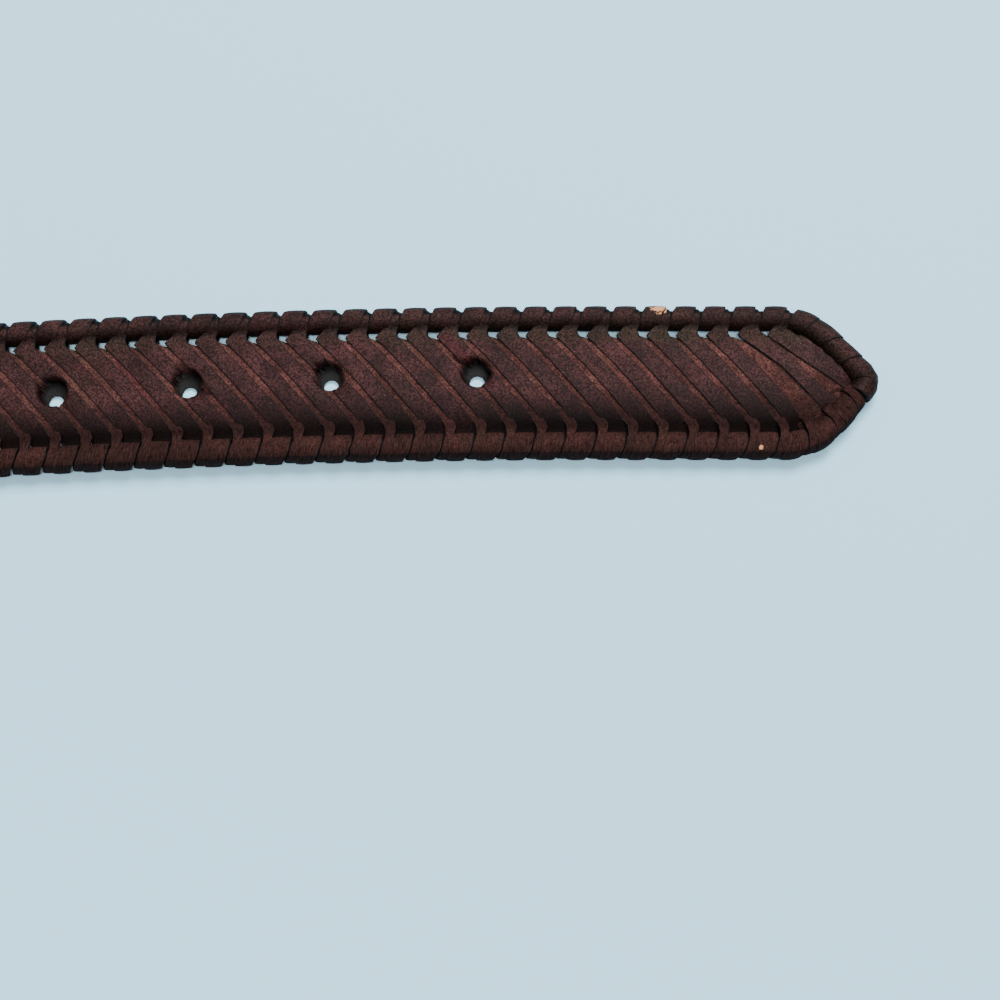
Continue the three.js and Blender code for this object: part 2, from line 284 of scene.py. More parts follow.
def build_nick_group():
    tree, source, result = new_group(
        "nicks", [("Vector", "NodeSocketVector", None)], [("Mask", "NodeSocketFloat")]
    )
    rough = noise_node(tree, source.outputs["Vector"], 1400, 3)
    total = None
    for spot, height, size in NICKS:
        away = node(tree, "ShaderNodeVectorMath", operation="SUBTRACT")
        tree.links.new(source.outputs["Vector"], away.inputs[0])
        away.inputs[1].default_value = (spot.x, spot.y, height)
        scaled = node(tree, "ShaderNodeVectorMath", operation="DIVIDE")
        tree.links.new(away.outputs[0], scaled.inputs[0])
        scaled.inputs[1].default_value = size
        length = node(tree, "ShaderNodeVectorMath", operation="LENGTH")
        tree.links.new(scaled.outputs[0], length.inputs[0])
        near = spread(tree, length.outputs["Value"], 0.2, 1.1, 1.0, 0.0)
        total = near if total is None else math_node(tree, "MAXIMUM", total, near)
    ragged = math_node(tree, "ADD", total, math_node(tree, "MULTIPLY", rough, 1.8))
    mask = spread(tree, ragged, 1.3, 1.45, 0.0, 1.0)
    tree.links.new(math_node(tree, "MULTIPLY", mask, math_node(tree, "GREATER_THAN", total, 0.02)),
                   result.inputs["Mask"])
    return tree


NICKED = build_nick_group()
EDGE = build_edge_group()


def leather(name, dark, light, pale, edge_colour, roughness, bump, uv_name=None, reach=0.2,
            pore_size=1.0, fleck_share=0.5, streaks=0.0, speckle_share=0.75, stain=None, gloss=0.2,
            worn_and_shaded=False):
    material = bpy.data.materials.new(name)
    material.use_nodes = True
    tree = material.node_tree
    shader = tree.nodes["Principled BSDF"]
    coords = node(tree, "ShaderNodeTexCoord").outputs["Object"]
    grain = node(tree, "ShaderNodeGroup", node_tree=GRAIN)
    tree.links.new(coords, grain.inputs["Vector"])
    grain.inputs["Pore Size"].default_value = pore_size
    base = mix_colour(tree, grain.outputs["Patches"], dark, light)
    if stain:
        base = mix_colour(tree, math_node(tree, "MULTIPLY", grain.outputs["Stains"], 0.35), base, stain)
    if worn_and_shaded:
        # Olive painted shade
        olive_shade = node(tree, "ShaderNodeAttribute", attribute_name=OLIVE_SHADE)
        base = mix_colour(tree, math_node(tree, "MULTIPLY", olive_shade.outputs["Fac"], 0.75), base, OLIVE_SHADE_TINT)
        ruddy = node(tree, "ShaderNodeAttribute", attribute_name=RUDDY)
        base = mix_colour(tree, math_node(tree, "MULTIPLY", ruddy.outputs["Fac"], 0.7), base, RUDDY_DYE)
    darkened = mix_colour(tree, 1.0, base, (0.22, 0.2, 0.2, 1), "MULTIPLY")
    grains = math_node(tree, "MULTIPLY", grain.outputs["Speckle"], speckle_share)
    base = mix_colour(tree, grains, base, darkened)
    flecks = math_node(tree, "MULTIPLY", grain.outputs["Flecks"], fleck_share)
    base = mix_colour(tree, flecks, base, pale)
    if worn_and_shaded:
        # Painted shade and grime: the attribute darkens the colour by multiplying it with the tint
        shade_and_grime = node(tree, "ShaderNodeAttribute", attribute_name=SHADE_AND_GRIME)
        shaded_and_grimy = mix_colour(tree, 1.0, base, SHADE_AND_GRIME_TINT, "MULTIPLY")
        base = mix_colour(tree, shade_and_grime.outputs["Fac"], base, shaded_and_grimy)
        nicked = node(tree, "ShaderNodeGroup", node_tree=NICKED)
        tree.links.new(coords, nicked.inputs["Vector"])
        base = mix_colour(tree, nicked.outputs["Mask"], base, NICK_TAN)
    height = grain.outputs["Height"]
    if uv_name:
        uv = node(tree, "ShaderNodeUVMap", uv_map=uv_name)
        split = node(tree, "ShaderNodeSeparateXYZ")
        tree.links.new(uv.outputs["UV"], split.inputs["Vector"])
        edge = node(tree, "ShaderNodeGroup", node_tree=EDGE)
        tree.links.new(split.outputs["X"], edge.inputs["Across"])
        tree.links.new(coords, edge.inputs["Vector"])
        edge.inputs["Reach"].default_value = reach
        base = mix_colour(tree, edge.outputs["Edge"], base, edge_colour)
        if streaks:
            stretched = node(tree, "ShaderNodeMapping")
            stretched.inputs["Scale"].default_value = (9, 0.35, 1)
            tree.links.new(uv.outputs["UV"], stretched.inputs["Vector"])
            lines = noise_node(tree, stretched.outputs["Vector"], 2.0, 3)
            lines = spread(tree, lines, 0.35, 0.7)
            base = mix_colour(tree, math_node(tree, "MULTIPLY", lines, streaks), base, pale)
            height = math_node(tree, "ADD", height, math_node(tree, "MULTIPLY", lines, 0.2))
    tree.links.new(base, shader.inputs["Base Color"])
    shine = spread(tree, grain.outputs["Patches"], 0, 1, roughness, roughness + 0.12)
    tree.links.new(shine, shader.inputs["Roughness"])
    bump_node = node(tree, "ShaderNodeBump")
    bump_node.inputs["Strength"].default_value = bump
    bump_node.inputs["Distance"].default_value = 0.12 * MM
    tree.links.new(height, bump_node.inputs["Height"])
    tree.links.new(bump_node.outputs["Normal"], shader.inputs["Normal"])
    shader.inputs["Specular IOR Level"].default_value = gloss
    return material


LACE_UV = "lace_run"
grain_side = leather(
    "lace_grain_side", (0.032, 0.0118, 0.0122, 1), (0.078, 0.030, 0.031, 1), (0.20, 0.10, 0.10, 1),
    (0.010, 0.006, 0.006, 1), 0.55, 0.8, LACE_UV, reach=0.08, fleck_share=0.45, speckle_share=1.0,
    gloss=0.07, stain=(0.036, 0.026, 0.017, 1), worn_and_shaded=True,
)
flesh_side = leather(
    "lace_flesh_side", (0.050, 0.0165, 0.0150, 1), (0.145, 0.054, 0.049, 1), (0.34, 0.18, 0.16, 1),
    (0.010, 0.006, 0.006, 1), 0.78, 0.9, LACE_UV, reach=0.10, fleck_share=0.5, streaks=0.08,
    speckle_share=1.0, gloss=0.05, stain=(0.075, 0.048, 0.026, 1), worn_and_shaded=True,
)
# Black of the dyed cut edges, also used as painted shade inside the punched holes
cut_edge_and_shade = leather(
    "lace_cut_edge_and_shade", (0.004, 0.0045, 0.005, 1), (0.012, 0.012, 0.012, 1), (0.04, 0.035, 0.035, 1),
    (0.004, 0.004, 0.005, 1), 0.7, 0.6, fleck_share=0.2,
)
core_leather = leather(
    "core_cord", (0.003, 0.0038, 0.004, 1), (0.007, 0.009, 0.010, 1), (0.03, 0.03, 0.03, 1),
    (0.004, 0.004, 0.005, 1), 0.8, 0.5, fleck_share=0.2, gloss=0.08,
)
chape_side = leather(
    "chape_leather", (0.040, 0.0155, 0.0145, 1), (0.066, 0.028, 0.026, 1), (0.18, 0.10, 0.09, 1),
    (0.010, 0.006, 0.006, 1), 0.52, 0.45, LACE_UV, reach=0.035, pore_size=0.6, fleck_share=0.25,
    stain=(0.050, 0.036, 0.022, 1),
)
thread_material = leather(
    "waxed_thread", (0.022, 0.014, 0.012, 1), (0.05, 0.032, 0.026, 1), (0.12, 0.08, 0.07, 1),
    (0.008, 0.007, 0.007, 1), 0.6, 0.8, pore_size=1.6, fleck_share=0.5,
)


def satin_metal(name):
    material = bpy.data.materials.new(name)
    material.use_nodes = True
    tree = material.node_tree
    shader = tree.nodes["Principled BSDF"]
    coords = node(tree, "ShaderNodeTexCoord").outputs["Object"]
    stretched = node(tree, "ShaderNodeMapping")
    stretched.inputs["Scale"].default_value = (400, 5200, 5200)
    tree.links.new(coords, stretched.inputs["Vector"])
    brushed = noise_node(tree, stretched.outputs["Vector"], 1, 3)
    grain = node(tree, "ShaderNodeGroup", node_tree=GRAIN)
    tree.links.new(coords, grain.inputs["Vector"])
    tint = mix_colour(tree, brushed, (0.36, 0.34, 0.30, 1), (0.56, 0.54, 0.50, 1))
    tarnish = math_node(tree, "MULTIPLY", grain.outputs["Patches"], 0.35)
    tint = mix_colour(tree, tarnish, tint, (0.24, 0.21, 0.17, 1))
    tree.links.new(tint, shader.inputs["Base Color"])
    tree.links.new(spread(tree, brushed, 0.3, 0.7, 0.28, 0.46), shader.inputs["Roughness"])
    bump_node = node(tree, "ShaderNodeBump")
    bump_node.inputs["Strength"].default_value = 0.25
    bump_node.inputs["Distance"].default_value = 0.03 * MM
    tree.links.new(brushed, bump_node.inputs["Height"])
    tree.links.new(bump_node.outputs["Normal"], shader.inputs["Normal"])
    shader.inputs["Metallic"].default_value = 1.0
    return material


buckle_metal = satin_metal("buckle_metal")


def ease(value):
    value = min(max(value, 0), 1)
    return value * value * (3 - 2 * value)


# The rows of one turn of lace on the straight braid, in millimetres. A strip's row has its left and
# right edge along the belt, its place across and its height. A row on a rim has an angle round the
# cord instead, 0 outside and 90 on top, and the radius to the middle of the lace.
def strip_row(left, right, y, z, crown=0.03, tilt=0.0):
    low, high, out, rise = slant_row(left, y, right, y, z, crown)
    low.z -= tilt
    return low, high, out, rise


def slant_row(left, left_y, right, right_y, z, crown=0.03):
    return Vector((left, left_y, z)), Vector((right, right_y, z)), Vector((0, 0, 1)), crown


def rim_row(side, angle, radius, left, right, crown=0.1):
    turn = math.radians(angle)
    out = Vector((0, side * math.cos(turn), math.sin(turn)))
    y = side * HALF_RIM / MM + out.y * radius
    z = MID_HEIGHT / MM + out.z * radius
    return Vector((left, y, z)), Vector((right, y, z)), out, crown


FACE_ROWS = [
    strip_row(10.9, 16.2, -9.9, 0.9),
    strip_row(10.8, 15.6, -8.9, 1.2),
    strip_row(10.4, 14.8, -7.7, 1.85),
    strip_row(9.55, 13.5, -6.2, 2.5),
    strip_row(7.1, 11.0, -3.2, 2.78),
    strip_row(4.45, 8.35, 0.0, 2.8),
    strip_row(1.75, 5.7, 3.2, 2.8),
    strip_row(-0.6, 3.35, 5.8, 2.82),
    strip_row(-2.05, 2.0, 7.4, 2.9),
    strip_row(-2.9, 1.2, 8.4, 3.0),
    strip_row(-2.1, 0.9, 9.2, 3.2),
]
NECK_ROWS = [
    rim_row(1, 150, 1.9, -1.2, 1.15),
    rim_row(1, 120, 1.75, -0.6, 1.25),
    rim_row(1, 90, 1.66, -0.15, 1.4),
    rim_row(1, 45, 1.42, 0.15, 1.1),
    rim_row(1, 0, 1.35, 0.4, 1.3),
    rim_row(1, -45, 1.45, 0.6, 2.2),
    rim_row(1, -90, 1.6, 0.7, 3.0),
    rim_row(1, -135, 1.75, 0.9, 3.5),
    rim_row(1, -180, 1.8, 1.05, 4.1),
]
WRAP_ROWS = [
    rim_row(1, -225, 1.88, 1.15, 4.85),
    rim_row(1, -270, 1.92, 1.65, 5.5),
    rim_row(1, -315, 1.92, 2.25, 5.95),
    rim_row(1, -360, 1.9, 2.65, 6.2),
    rim_row(1, -405, 1.85, 3.0, 6.35),
    rim_row(1, -450, 1.8, 3.4, 6.4),
    rim_row(1, -485, 1.8, 3.6, 6.4),
]
BAND_ROWS = [
    strip_row(3.6, 6.3, 9.5, 1.3),
    strip_row(3.9, 6.5, 8.6, 1.7),
    strip_row(4.6, 7.9, 7.9, 2.2),
    strip_row(5.8, 9.8, 7.0, 2.55, tilt=0.2),
    strip_row(9.0, 14.4, 3.2, 2.66, tilt=0.3),
    strip_row(12.6, 18.1, 0.0, 2.66, tilt=0.3),
    strip_row(16.3, 21.9, -3.2, 2.6, tilt=0.3),
    strip_row(19.0, 25.0, -5.2, 2.4, tilt=0.3),
    strip_row(22.9, 26.3, -6.5, 2.2, tilt=0.2),
    strip_row(24.7, 26.9, -7.5, 2.4, tilt=0.1),
    strip_row(25.2, 27.2, -8.4, 2.9),
    strip_row(25.4, 27.2, -9.2, 3.45),
]
LOWER_ROWS = [
    rim_row(-1, 135, 1.87, 25.45, 26.8),
    rim_row(-1, 90, 1.78, 25.1, 26.6),
    rim_row(-1, 45, 2.05, 24.5, 26.4),
    rim_row(-1, 0, 1.85, 24.0, 26.2),
    rim_row(-1, -45, 2.2, 23.5, 25.8),
    rim_row(-1, -90, 1.75, 23.0, 25.4),
    rim_row(-1, -135, 1.78, 22.4, 25.0),
    rim_row(-1, -180, 1.8, 21.7, 24.9),
    rim_row(-1, -225, 1.87, 21.3, 24.95),
    rim_row(-1, -270, 1.92, 20.95, 24.8),
    rim_row(-1, -315, 2.3, 20.75, 24.2),
    rim_row(-1, -360, 2.1, 20.3, 23.3),
    rim_row(-1, -405, 2.45, 19.9, 22.9),
    rim_row(-1, -450, 1.82, 19.5, 22.6),
    rim_row(-1, -490, 1.8, 18.7, 21.9),
    strip_row(18.13, 21.33, -9.7, 0.95),
]
# The two strips nearest the tip, read off the photo from their own neck
LAST_FACE_ROWS = [
    slant_row(11.3, -2.0, 12.6, 1.3, 1.9),
    slant_row(9.9, -0.9, 11.3, 2.1, 2.45),
    slant_row(6.6, 1.5, 8.7, 4.1, 2.78),
    slant_row(2.7, 4.2, 5.6, 6.3, 2.8),
    slant_row(-0.5, 6.7, 2.9, 8.2, 2.9),
    slant_row(-2.7, 8.3, 1.5, 9.2, 3.05),
]
NEXT_FACE_ROWS = [
    slant_row(13.6, -7.1, 16.1, -4.2, 1.7),
    slant_row(12.1, -5.5, 14.2, -3.0, 2.4),
    slant_row(8.5, -1.5, 10.3, 0.4, 2.78),
    slant_row(4.8, 2.6, 7.0, 4.2, 2.8),
    slant_row(1.4, 5.3, 3.9, 7.0, 2.8),
    slant_row(-1.6, 7.5, 2.2, 8.6, 2.95),
    slant_row(-2.6, 8.6, 1.2, 9.25, 3.15),
]
# The band between those two strips, and the pieces of lace that close the corners beside the rims
TIP_BAND_ROWS = [
    slant_row(-3.5, 6.2, 0.2, 8.2, 2.2),
    slant_row(0.2, 3.4, 3.6, 6.0, 2.4),
    slant_row(4.4, 0.2, 7.4, 2.6, 2.4),
    slant_row(8.0, -3.4, 10.9, -0.2, 2.1),
    slant_row(10.4, -4.9, 12.6, -2.2, 1.7),
]
LOWER_CORNER_ROWS = [
    slant_row(0.6, -6.0, 3.2, -9.6, 1.5),
    slant_row(4.0, -4.9, 6.4, -8.8, 2.15),
    slant_row(7.6, -2.9, 9.9, -6.0, 2.15),
    slant_row(10.3, -1.0, 12.5, -3.0, 1.7),
]
CORNER_ROWS = [
    slant_row(-1.8, 8.0, 2.6, 9.1, 1.9),
    slant_row(2.6, 5.4, 6.4, 7.8, 2.25),
    slant_row(6.4, 2.6, 9.6, 5.0, 2.25),
    slant_row(9.4, 0.4, 11.6, 2.6, 1.8),
]


# A wrap that goes round the rim by itself, as at the tip
def ring_rows(half_width, lean, radius=1.9, inner_radius=1.9, start=200, end=-170, flare=0.0):
    rows = []
    turns = 10
    for i in range(turns + 1):
        angle = start + (end - start) * i / turns
        shift = -lean * math.cos(math.radians(angle + 180)) if angle > -20 else lean
        share = max(0, -math.cos(math.radians(angle))) if angle > 90 else 0
        low, high, out, crown = rim_row(1, angle, radius + (inner_radius - radius) * share,
                                        shift - half_width, shift + half_width, 0.08)
        proud = flare * ease((angle + 20) / 60)
        rows.append((low - out * proud, high + out * proud, out, crown))
    return rows


def catmull(a, b, c, d, t):
    return 0.5 * (
        2 * b + (c - a) * t + (2 * a - 5 * b + 4 * c - d) * t * t
        + (3 * b - a - 3 * c + d) * t * t * t
    )


def smooth_rows(rows, steps):
    fine = []
    for i in range(len(rows) - 1):
        around = [rows[max(0, min(len(rows) - 1, i + k))] for k in (-1, 0, 1, 2)]
        for step in range(steps):
            t = step / steps
            left, right, out = (catmull(*(row[part] for row in around), t) for part in range(3))
            crown = around[1][3] * (1 - t) + around[2][3] * t
            fine.append((left, right, out.normalized(), crown))
    fine.append(rows[-1])
    return fine


LACE_COLUMNS = 4
LACE_THICKNESS = 0.8 * MM
LACE_BEVEL = 0.09 * MM


def activate(obj):
    bpy.ops.object.select_all(action="DESELECT")
    obj.select_set(True)
    bpy.context.view_layer.objects.active = obj


def apply_modifiers(obj):
    activate(obj)
    for modifier in list(obj.modifiers):
        bpy.ops.object.modifier_apply(modifier=modifier.name)


def remove(obj):
    mesh = obj.data
    bpy.data.objects.remove(obj)
    bpy.data.meshes.remove(mesh)


# A flat grid is shaped row by row, then thickened and its edges rounded. Rows from flesh_from on
# show the lace's flesh side, and with NO_FLESH none do.
NO_FLESH = 99


def lace_master(name, rows, flesh_from, steps=2):
    rows = smooth_rows(rows, steps)
    bpy.ops.mesh.primitive_grid_add(x_subdivisions=LACE_COLUMNS, y_subdivisions=len(rows) - 1, size=1)
    obj = bpy.context.object
    obj.name = name
    mesh = obj.data
    mesh.uv_layers[0].name = LACE_UV
    run = 0
    places = []
    previous = None
    for left, right, out, crown in rows:
        middle = (left + right) / 2
        if previous is not None:
            run += (middle - previous).length
        previous = middle
        for column in range(LACE_COLUMNS + 1):
            across = column / LACE_COLUMNS
            rise = crown * (1 - (2 * across - 1) ** 2) - crown * 0.4
            places.append(((left.lerp(right, across) + out * rise) * MM, across, run))
    for vertex in mesh.vertices:
        vertex.co = places[vertex.index][0]
    layer = mesh.uv_layers[LACE_UV]
    for loop in mesh.loops:
        layer.data[loop.index].uv = places[loop.vertex_index][1:]
    for material in LACE_MATERIALS:
        mesh.materials.append(material)
    for polygon in mesh.polygons:
        row = polygon.vertices[0] // (LACE_COLUMNS + 1)
        polygon.material_index = 1 if row >= flesh_from * steps else 0
        polygon.use_smooth = True
    solid = obj.modifiers.new("thickness", "SOLIDIFY")
    solid.thickness = LACE_THICKNESS
    solid.offset = 0
    solid.material_offset_rim = 2
    apply_modifiers(obj)
    for polygon in mesh.polygons:
        polygon.material_index = min(polygon.material_index, 2)
    bevel = obj.modifiers.new("rounded_edges", "BEVEL")
    bevel.width = LACE_BEVEL
    bevel.segments = 1
    bevel.limit_method = "ANGLE"
    bevel.angle_limit = math.radians(55)
    apply_modifiers(obj)
    bpy.ops.object.shade_smooth_by_angle(angle=math.radians(35))
    return obj


LACE_MATERIALS = (grain_side, flesh_side, cut_edge_and_shade)
LAST_NECK = STRAP_LENGTH - 16.3 * MM
CUT_X = CHAPE_LENGTH + 0.1 * MM
# The turns nearest the folded leather, which its edge may cut
TRIMMED_TURNS = 12
unit_count = int((LAST_NECK - CUT_X) / PITCH) + 5
hole_centres = [
    (STRAP_LENGTH - TIP_TO_FIRST_HOLE - along * HOLE_SPACING, aside * HOLE_DIAMETER)
    for along, aside in HOLES
]
CURL_REACH = 1.3 * MM
CURL_PRESS = 0.03
FINE_REACH = 1.6 * MM
FUNNEL_RUN = 1.15 * MM
FUNNEL_FLOOR = 0.15 * MM
FUNNEL_PRESS = 0.84
OPENING_RADIUS = 1.3 * MM
CUTTER_DEPTH = 12 * MM
WALL_WIDTH = 0.75 * MM
OPENING_SHIFT = Vector((0.2, -1.35)) * MM


def uneven(x, lane):
    return noise.noise(Vector((x * 90, lane * 7.3, 3.1)))


# The punch pushed the lace down into the hole, so its ends slope down round a smaller opening
def pressed(x, y, z):
    if abs(y) > PANEL_EDGE:
        return z
    for hole_s, hole_y in hole_centres:
        inside = HOLE_DIAMETER / 2 - Vector((x - hole_s, y - hole_y)).length
        if inside < -CURL_REACH:
            continue
        curl = CURL_PRESS * ease(1 + inside / CURL_REACH)
        press = curl + (FUNNEL_PRESS - CURL_PRESS) * ease(inside / FUNNEL_RUN)
        z = FUNNEL_FLOOR + (z - FUNNEL_FLOOR) * (1 - press)
    return z


# Painted shade with some patchy grime: the lower side and the rims are darkened, their near sides most,
# and the upper shoulders and rim take an olive painted shade. The walls of the punched holes are darkest,
# painted shade in the recess.
SUNK_RADIUS = 2.0 * MM


def shade_and_grime_at(y, z, x):
    patchy = 0.22 * noise.noise(Vector((x * 60, y * 120, 9.1)))
    top = ease((z - MID_HEIGHT) / RIM_RADIUS)
    if y > PANEL_EDGE:
        from_core = math.hypot(y - HALF_RIM, z - MID_HEIGHT)
        # The sunk lace in the notches beside the core is fully darkened: painted shade.
        if from_core < SUNK_RADIUS and y > HALF_RIM + 0.5 * MM:
            return 1.0
        # The rim's top is lighter and its side towards the panel darker: painted shade from the key light
        # behind, over a patchy grime.
        inner = ease((HALF_RIM + 0.4 * MM - y) / (1.9 * MM))
        return min(max(0.46 - 0.2 * top + 0.32 * inner + patchy, 0), 1)
    if y < -PANEL_EDGE:
        # The lower rim's outer side, turned away from the key light, gets painted shade, which starts
        # further out towards the tip; the rest of the rim gets painted shade with grime.
        shaded_side_from = 0.8 * MM + 0.7 * MM * ease((x - STRAP_LENGTH + 55 * MM) / (35 * MM))
        outer = ease((-y - HALF_RIM - shaded_side_from) / (0.5 * MM))
        return min(max(0.80 + 0.25 * outer + patchy * 0.6 * (1 - outer), 0), 1)
    # The panel darkens towards the lower rim: painted shade where the strips slope down away from the key
    # light, with some grime.
    shade = 0.06 + 0.14 * ease((5 * MM - y) / (10 * MM)) + 0.8 * ease(-y / (8.8 * MM)) + patchy
    # Round each punched hole the funnel walls get painted shade.
    for hole_s, hole_y in hole_centres:
        inside = HOLE_DIAMETER / 2 - Vector((x - hole_s, y - hole_y)).length
        shade = max(shade, 1.1 * ease((inside + 0.1 * MM) / (0.7 * MM)))
    return min(max(shade, 0), 1)


# Olive painted shade: it rises over the upper shoulders towards the upper rim and lies at a fixed share
# on the rim.
def olive_shade_at(y, z, x):
    patchy = 0.5 + 0.8 * noise.noise(Vector((x * 75, y * 60, 4.4)))
    shoulder = ease((y - 6.0 * MM) / (2.6 * MM)) if y < HALF_RIM - RIM_RADIUS / 2 else 0.45
    return min(max(shoulder * patchy, 0), 1)


# One strip and one band took the dye redder than the rest: how far the turn's neck is from the
# last one, and between which places across the belt
RUDDY_STRIP = (57.9 * MM, 1.5 * MM, 9.5 * MM)
RUDDY_BAND = (127.8 * MM, -5.5 * MM, 6.5 * MM)
FACE_END = 8 * MM


def ruddy_at(co, index):
    from_last, low, high = RUDDY_STRIP if co.x + co.y < FACE_END else RUDDY_BAND
    if index != round(from_last / PITCH) or co.z < MID_HEIGHT or abs(co.y) > PANEL_EDGE:
        return 0.0
    return ease((co.y - low) / (3 * MM)) * ease((high - co.y) / (2 * MM))


def near_hole(x, y):
    for hole_s, hole_y in hole_centres:
        if Vector((x - hole_s, y - hole_y)).length < HOLE_DIAMETER / 2 + FINE_REACH:
            return True
    return False


# Copies of one turn of lace, each with its own place, slight unevenness and mesh. A copy that a hole
# goes through is made finer there.
def lace_copy(source, shift, index, at_tip=False, punched=False):
    seeded = random.Random(index * 31 + 7)
    slide = seeded.uniform(-0.12, 0.12) * MM
    lift = seeded.uniform(-0.04, 0.05) * MM
    mesh = source.data.copy()
    if punched:
        bm = bmesh.new()
        bm.from_mesh(mesh)
        close = [e for e in bm.edges if all(near_hole(v.co.x + shift, v.co.y) for v in e.verts)]
        bmesh.ops.subdivide_edges(bm, edges=close, cuts=2, use_grid_fill=True)
        bm.to_mesh(mesh)
        bm.free()
    shade_and_grime = mesh.attributes.new(SHADE_AND_GRIME, "FLOAT", "POINT")
    olive_shade = mesh.attributes.new(OLIVE_SHADE, "FLOAT", "POINT")
    ruddy = mesh.attributes.new(RUDDY, "FLOAT", "POINT")
    for vertex in mesh.vertices:
        co = vertex.co
        shade_and_grime.data[vertex.index].value = shade_and_grime_at(co.y, co.z, co.x + shift)
        olive_shade.data[vertex.index].value = olive_shade_at(co.y, co.z, co.x + shift)
        ruddy.data[vertex.index].value = ruddy_at(co, index)
        inner = 1 - min(abs(co.y) / HALF_RIM, 1)
        wobble = uneven(co.x + shift, co.y / MM * 0.2)
        x = co.x + shift + slide * (0.4 + 0.6 * inner) + wobble * 0.14 * MM
        z = pressed(x, co.y, co.z) + lift * inner
        vertex.co = place((x, co.y, z), at_tip)
    layer = mesh.uv_layers[LACE_UV]
    for data in layer.data:
        data.uv[1] += index * 61.7
    obj = bpy.data.objects.new("lace_copy", mesh)
    bpy.context.scene.collection.objects.link(obj)
    return obj


def crosses_hole(obj):
    for hole_s, hole_y in hole_centres:
        spot = lay(hole_s, hole_y) + ORIGIN
        for vertex in obj.data.vertices:
            if (vertex.co.xy - spot).length < HOLE_DIAMETER / 2 + 0.2 * MM:
                return True
    return False


def hole_cutter(hole_s, hole_y):
    spot = lay(hole_s + OPENING_SHIFT.x, hole_y + OPENING_SHIFT.y) + ORIGIN
    centre = lay(hole_s, hole_y) + ORIGIN
    bpy.ops.mesh.primitive_cylinder_add(vertices=36, radius=OPENING_RADIUS, depth=CUTTER_DEPTH,
                                        location=(spot.x, spot.y, MID_HEIGHT))
    cutter = bpy.context.object
    bpy.ops.object.transform_apply(location=True, rotation=False, scale=False)
    return cutter, centre


def punch(obj, cutters):
    for cutter, centre in cutters:
        near = min((v.co.xy - centre).length for v in obj.data.vertices)
        if near > HOLE_DIAMETER / 2:
            continue
        cut = obj.modifiers.new("hole", "BOOLEAN")
        cut.operation = "DIFFERENCE"
        cut.solver = "EXACT"
        cut.object = cutter
        apply_modifiers(obj)
        mesh = obj.data
        # The funnel round the opening takes the black edge material: painted shade in the hole.
        for polygon in mesh.polygons:
            if (polygon.center.xy - centre).length < HOLE_DIAMETER / 2 - WALL_WIDTH:
                polygon.material_index = 2


# Cuts a mesh off square where the folded leather takes over, and closes it
def trim(obj):
    bm = bmesh.new()
    bm.from_mesh(obj.data)
    plane_x = ORIGIN.x + CUT_X
    cut = bmesh.ops.bisect_plane(
        bm, geom=bm.verts[:] + bm.edges[:] + bm.faces[:], dist=1e-7,
        plane_co=(plane_x, 0, 0), plane_no=(-1, 0, 0), clear_outer=True,
    )
    edges = [g for g in cut["geom_cut"] if isinstance(g, bmesh.types.BMEdge)]
    filled = bmesh.ops.holes_fill(bm, edges=edges)
    for new_face in filled["faces"]:
        new_face.material_index = 2
    bm.to_mesh(obj.data)
    bm.free()


def join(objects, name):
    bpy.ops.object.select_all(action="DESELECT")
    for obj in objects:
        obj.select_set(True)
    bpy.context.view_layer.objects.active = objects[0]
    bpy.ops.object.join()
    joined = bpy.context.object
    joined.name = name
    joined.data.name = name
    return joined


unit = lace_master("lace_unit", FACE_ROWS + NECK_ROWS + WRAP_ROWS + BAND_ROWS + LOWER_ROWS,
                   len(FACE_ROWS) + len(NECK_ROWS) + len(WRAP_ROWS))
last_unit = lace_master("lace_last_unit", LAST_FACE_ROWS + NECK_ROWS + WRAP_ROWS, NO_FLESH)
next_unit = lace_master("lace_next_unit", NEXT_FACE_ROWS + NECK_ROWS + WRAP_ROWS, NO_FLESH)
corner = lace_master("lace_corner", CORNER_ROWS, 0)
tip_band = lace_master("lace_tip_band", TIP_BAND_ROWS, 0)
lower_corner = lace_master("lace_lower_corner", LOWER_CORNER_ROWS, 0)
broad = lace_master("lace_broad_wrap", ring_rows(2.5, 0.9, 1.86, 1.85, flare=0.16), NO_FLESH)
end_wrap = lace_master("lace_end_wrap", ring_rows(1.8, -0.3, 1.9, flare=0.1), NO_FLESH)

cutters = [hole_cutter(*centre) for centre in hole_centres]
tip_copies = [
    lace_copy(last_unit, LAST_NECK, 0, at_tip=True),
    lace_copy(next_unit, LAST_NECK - PITCH, 1, at_tip=True),
    lace_copy(corner, LAST_NECK, 2, at_tip=True),
    lace_copy(tip_band, LAST_NECK, 3, at_tip=True),
    lace_copy(lower_corner, LAST_NECK, 4, at_tip=True),
    lace_copy(broad, LAST_NECK + 7.7 * MM, 5),
    lace_copy(broad, LAST_NECK + 12.4 * MM, 6),
    lace_copy(broad, APEX - 2.4 * MM, 7),
    lace_copy(end_wrap, APEX + 1.3 * MM, 8),
]
copies = []
for index in range(2, unit_count):
    copy = lace_copy(unit, LAST_NECK - index * PITCH, index)
    if crosses_hole(copy):
        remove(copy)
        copy = lace_copy(unit, LAST_NECK - index * PITCH, index, punched=True)
        punch(copy, cutters)
    if index > unit_count - TRIMMED_TURNS:
        trim(copy)
    copies.append(copy)
third = len(copies) // 3
lace_pieces = [
    join(tip_copies + copies[:third], "lace_tip_end"),
    join(copies[third:2 * third], "lace_middle"),
    join(copies[2 * third:], "lace_buckle_end"),
]
for cutter, centre in cutters:
    remove(cutter)
for made in (unit, last_unit, next_unit, corner, tip_band, lower_corner, broad, end_wrap):
    remove(made)


